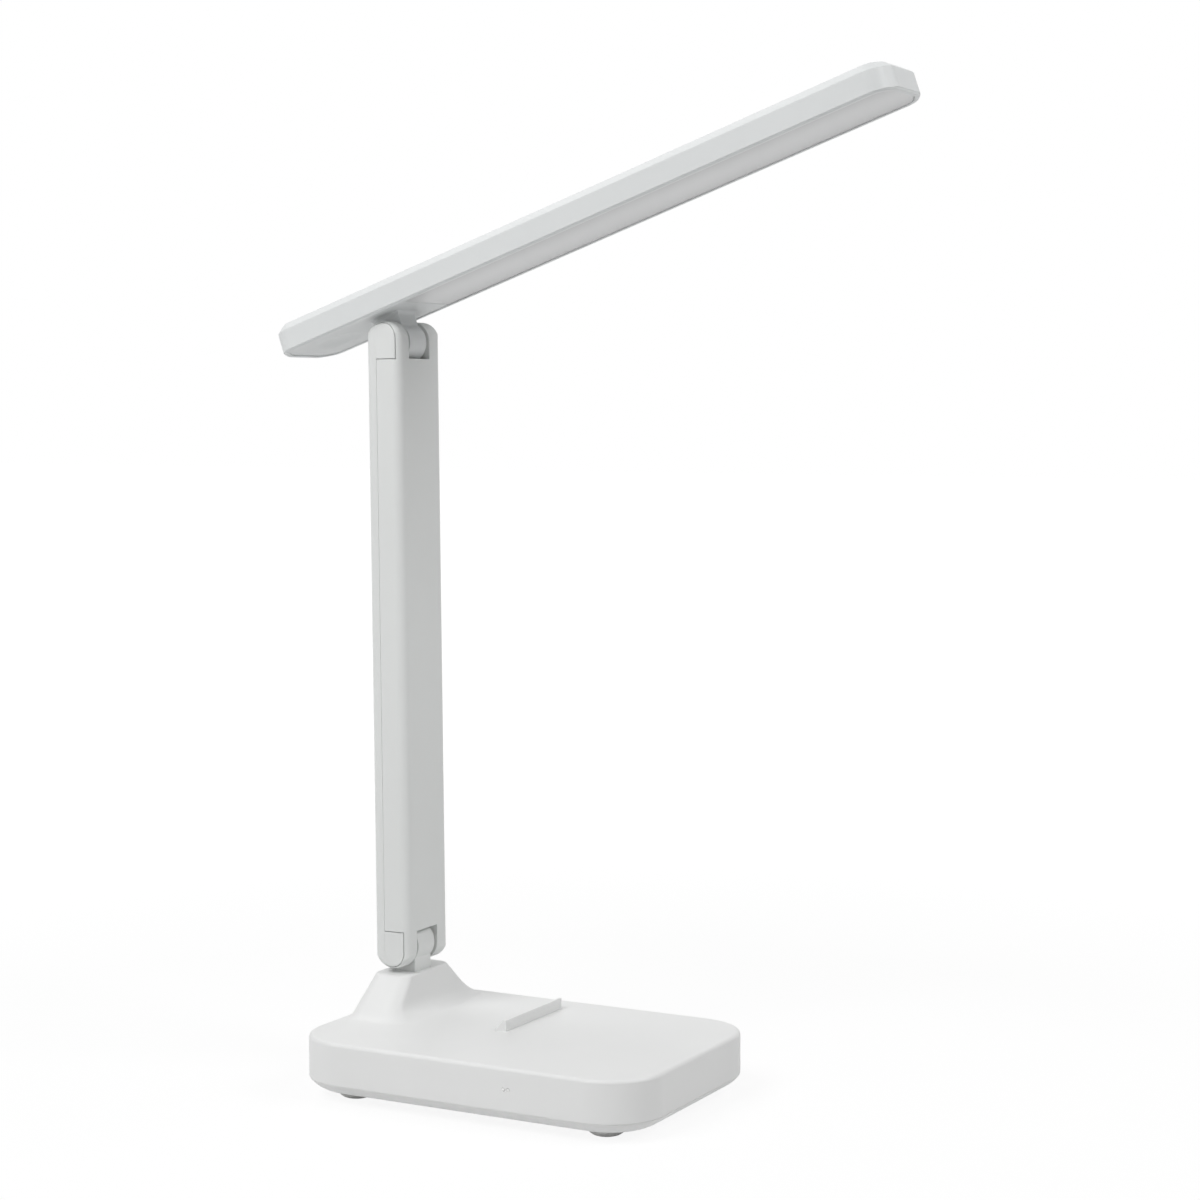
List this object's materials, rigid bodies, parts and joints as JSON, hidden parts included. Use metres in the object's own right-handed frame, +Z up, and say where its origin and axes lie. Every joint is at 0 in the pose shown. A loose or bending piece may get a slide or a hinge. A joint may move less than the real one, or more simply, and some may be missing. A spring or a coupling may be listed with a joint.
{
  "type": "folding led desk lamp",
  "caption": "Slim folding desk lamp: flat rounded base with a low rest ridge, straight hinged arm and a long bar-shaped light head with a touch switch under its tail.",
  "frame": {"origin": "on the desk plane, under the centre of the base", "axes": "+X forward, the way the head reaches; +Y across the lamp; +Z up"},
  "size_m": [0.2284, 0.09, 0.333],
  "materials": {
    "white_plastic": "fine matt, off-white",
    "cap_plastic": "fine matt, off-white",
    "foot_rubber": "matt, light grey",
    "steel_parts": "plain, bright",
    "ballast_iron": "blackened",
    "battery_wrap": "satin wrap",
    "green_board": "solder mask",
    "white_board": "white solder mask",
    "led_yellow": "yellow phosphor",
    "light_panel": "milky, light-spreading",
    "washer_nylon": "greased nylon",
    "pad_copper": "tinned copper foil",
    "lead_white": "smooth insulation"
  },
  "bodies": {
    "base": {"base_shell": "white_plastic", "base_tray": "white_plastic", "base_feet": "foot_rubber", "case_screws": "steel_parts", "ballast_plate": "ballast_iron", "battery_pack": "battery_wrap", "control_board": "green_board", "usb_socket": "steel_parts", "charge_lights": "light_panel", "charge_light_board": "green_board", "hinge_bracket": "white_plastic", "bracket_screws": "steel_parts", "base_hinge_washers": "washer_nylon"},
    "arm": {"arm_front_shell": "white_plastic", "arm_back_shell": "white_plastic", "arm_lead": "lead_white", "base_hinge_bolt": "steel_parts", "base_hinge_nut": "steel_parts", "base_cap_near": "cap_plastic", "base_cap_far": "cap_plastic", "head_hinge_bolt": "steel_parts", "head_hinge_nut": "steel_parts", "head_cap_near": "cap_plastic", "head_cap_far": "cap_plastic"},
    "head": {"head_housing": "white_plastic", "head_bottom_cover": "white_plastic", "head_diffuser": "light_panel", "head_screws": "steel_parts", "head_hinge_washers": "washer_nylon", "led_board": "white_board", "led_chips": "led_yellow", "touch_board": "green_board", "touch_pad": "pad_copper"}
  },
  "joints": [
    {"name": "base_hinge", "type": "hinge", "parent": "base", "child": "arm", "pos_m": [-0.0536, 0.0142, 0.0431], "axis": [0, 1, 0], "range_deg": [-25, 89]},
    {"name": "head_hinge", "type": "hinge", "parent": "arm", "child": "head", "pos_m": [-0.05566, 0.0142, 0.25009], "axis": [0, 1, 0], "range_deg": [-70, 108.75]}
  ]
}
